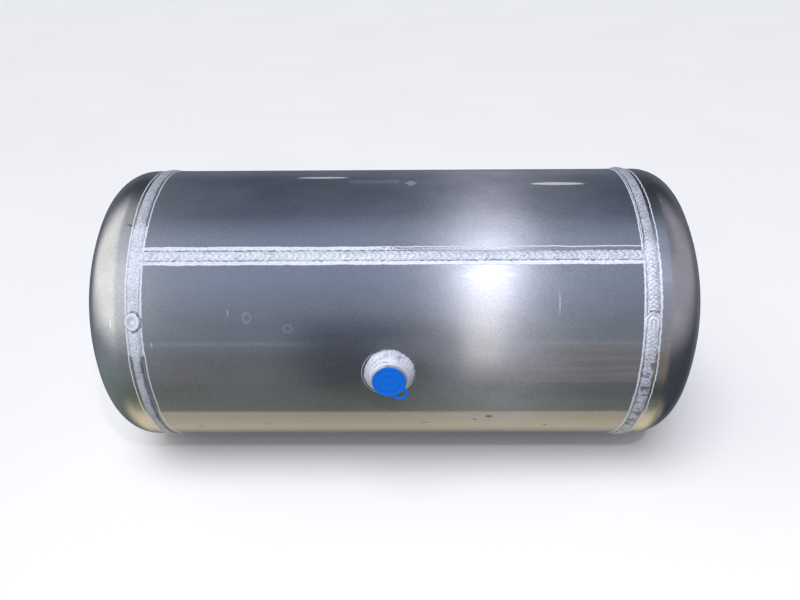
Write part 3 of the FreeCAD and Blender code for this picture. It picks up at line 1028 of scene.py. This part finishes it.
def world_light():
    """A dim room that changes with height, with its own light at each end of the tank."""
    world = bpy.data.worlds.new("room")
    bpy.context.scene.world = world
    world.use_nodes = True
    room = RoomNodes(world.node_tree)
    coordinate = room.tree.nodes.new("ShaderNodeTexCoord")
    split = room.tree.nodes.new("ShaderNodeSeparateXYZ")
    room.tree.links.new(coordinate.outputs["Generated"], split.inputs[0])
    x, y, z = split.outputs
    round_axis = room.math("DEGREES", room.math("ARCTAN2", z, room.math("MULTIPLY", y, -1.0)))
    height = room.math("DEGREES", room.math("ARCSINE", z))
    middle = room.ramp(round_axis, MIDDLE_ROOM)
    middle = room.darken(middle, room.patch(x, round_axis, VIEWER_PATCH))
    middle = room.mix(room.patch(x, round_axis, DOORWAY_PATCH), middle, DOORWAY)
    uneven = room.step(room.streaks(x, round_axis), 0.4, 0.6)
    dry = room.math("MULTIPLY", room.patch(x, round_axis, DRY_PATCH), uneven)
    middle = room.mix(dry, middle, DRY_EARTH)
    middle = room.mix(room.patch(x, round_axis, DITCH_PATCH), middle, DARKNESS)
    left = room.ramp(height, LEFT_ROOM)
    right = room.ramp(height, RIGHT_ROOM)
    start, full = END_LIMITS
    with_left = room.mix(room.step(x, -start, -full), middle, left)
    around = room.mix(room.step(x, start, full), with_left, right)
    behind = room.ramp(height, BACK_ROOM)
    everything = room.mix(room.step(y, *BEHIND_LIMITS), around, behind)
    room.tree.links.new(everything, room.tree.nodes["Background"].inputs[0])


WHITE = (1.0, 1.0, 1.0)
LAMP_DISTANCE = 1.6
# The floor lies just under the barrel, clear of the beads.
FLOOR_GAP = 2.5 * MM
FLOOR_HALF = 14.0
CAMERA_ELEVATION = math.radians(27.9)
CAMERA_YAW = math.radians(0.64)
CAMERA_ROLL = math.radians(0.2)
CAMERA_DISTANCE = 5.49 * BARREL_RADIUS
CAMERA_ASIDE = -0.038 * BARREL_RADIUS
CAMERA_BELOW = 0.009 * BARREL_RADIUS
CAMERA_LENS = 31.9
CAMERA_SENSOR = 36


def area_light(name, direction, distance, size, power, colour, shown_in_gloss, lit=True):
    """A soft light aimed at the tank's middle.

    direction is azimuth from -Y and elevation, in degrees. A lamp that isn't lit shows
    only as a reflection.
    """
    azimuth, elevation = (math.radians(value) for value in direction)
    light = bpy.data.lights.new(name, "AREA")
    light.shape = "ELLIPSE"
    light.size, light.size_y = size
    light.energy = power
    light.color = colour
    lamp = bpy.data.objects.new(name, light)
    bpy.context.scene.collection.objects.link(lamp)
    outward = Vector((math.sin(azimuth) * math.cos(elevation),
                      -math.cos(azimuth) * math.cos(elevation), math.sin(elevation)))
    lamp.location = outward * distance
    lamp.rotation_euler = outward.to_track_quat("Z", "Y").to_euler()
    lamp.visible_glossy = shown_in_gloss
    lamp.visible_diffuse = lit
    return lamp


def sun_light():
    """Broad light from above that doesn't show in the gloss."""
    light = bpy.data.lights.new("sky_fill", "SUN")
    light.energy = 2.5
    light.angle = math.radians(40)
    lamp = bpy.data.objects.new("sky_fill", light)
    bpy.context.scene.collection.objects.link(lamp)
    lamp.rotation_euler = (math.radians(20), math.radians(-10), 0)
    lamp.visible_glossy = False


def studio_floor():
    half = FLOOR_HALF
    level = -(BARREL_RADIUS + FLOOR_GAP)
    mesh = bpy.data.meshes.new("floor")
    corners = [(-half, -half, level), (half, -half, level),
               (half, half, level), (-half, half, level)]
    mesh.from_pydata(corners, [], [(0, 1, 2, 3)])
    mesh.materials.append(floor_paint("pale_floor"))
    floor = bpy.data.objects.new("floor", mesh)
    bpy.context.scene.collection.objects.link(floor)
    floor.visible_glossy = False


def studio_wall():
    """A plain round wall far behind everything, which neither lights nor shades the tank."""
    radius, top, steps = 13.0, 9.0, 96
    turn = np.linspace(0, FULL_TURN, steps, endpoint=False)
    level = -(BARREL_RADIUS + FLOOR_GAP)
    heights = np.array([level, top])[:, None]
    ring = np.broadcast_arrays(radius * np.cos(turn), radius * np.sin(turn), heights)
    mesh = bpy.data.meshes.new("wall")
    mesh.from_pydata(np.stack(ring, -1).reshape(-1, 3).tolist(), [],
                     grid_faces(2, steps, False, True).tolist())
    mesh.shade_smooth()
    mesh.materials.append(wall_paint("pale_wall"))
    wall = bpy.data.objects.new("wall", mesh)
    bpy.context.scene.collection.objects.link(wall)
    wall.visible_glossy = wall.visible_diffuse = wall.visible_shadow = False


def studio_camera():
    """The view: from in front and above, turned and tilted very slightly."""
    yaw, roll = CAMERA_YAW, CAMERA_ROLL
    forward = Vector((0, math.cos(CAMERA_ELEVATION), -math.sin(CAMERA_ELEVATION)))
    up = Vector((0, math.sin(CAMERA_ELEVATION), math.cos(CAMERA_ELEVATION)))
    right = Vector((1, 0, 0))
    forward, right = (forward * math.cos(yaw) - right * math.sin(yaw),
                      right * math.cos(yaw) + forward * math.sin(yaw))
    right, up = (right * math.cos(roll) - up * math.sin(roll),
                 up * math.cos(roll) + right * math.sin(roll))
    data = bpy.data.cameras.new("camera")
    data.sensor_width = CAMERA_SENSOR
    data.lens = CAMERA_LENS
    data.clip_end = 100
    camera = bpy.data.objects.new("camera", data)
    bpy.context.scene.collection.objects.link(camera)
    axes = Matrix((right, up, -forward)).transposed()
    place = -forward * CAMERA_DISTANCE - right * CAMERA_ASIDE + up * CAMERA_BELOW
    camera.matrix_world = Matrix.Translation(place) @ axes.to_4x4()
    bpy.context.scene.camera = camera


dished_head("left")
dished_head("right")
head_weld("left", LEFT_STYLE)
head_weld("right", RIGHT_STYLE)
long_weld()
for number, port_name in enumerate(PORTS):
    here = Port(port_name)
    boss(here)
    boss_fillet(here, 101 + 10 * number)
    plug(here)
dress_cad_nodes()

world_light()
area_light("key", (13.4, 46.5), LAMP_DISTANCE, (0.08, 0.06), 5.2, (0.98, 0.95, 1.0), True)
area_light("front_fill", (-10, 35), 3.0, (1.2, 1.2), 12.0, (1.0, 0.99, 0.97), False)
area_light("back_lamp_left", (-170, 25), LAMP_DISTANCE, (0.16, 0.1), 0.05, WHITE, True, False)
area_light("back_lamp_right", (158, 38), LAMP_DISTANCE, (0.16, 0.12), 0.08, WHITE, True, False)
sun_light()
studio_floor()
studio_wall()
studio_camera()
bpy.context.scene.view_settings.view_transform = "Standard"
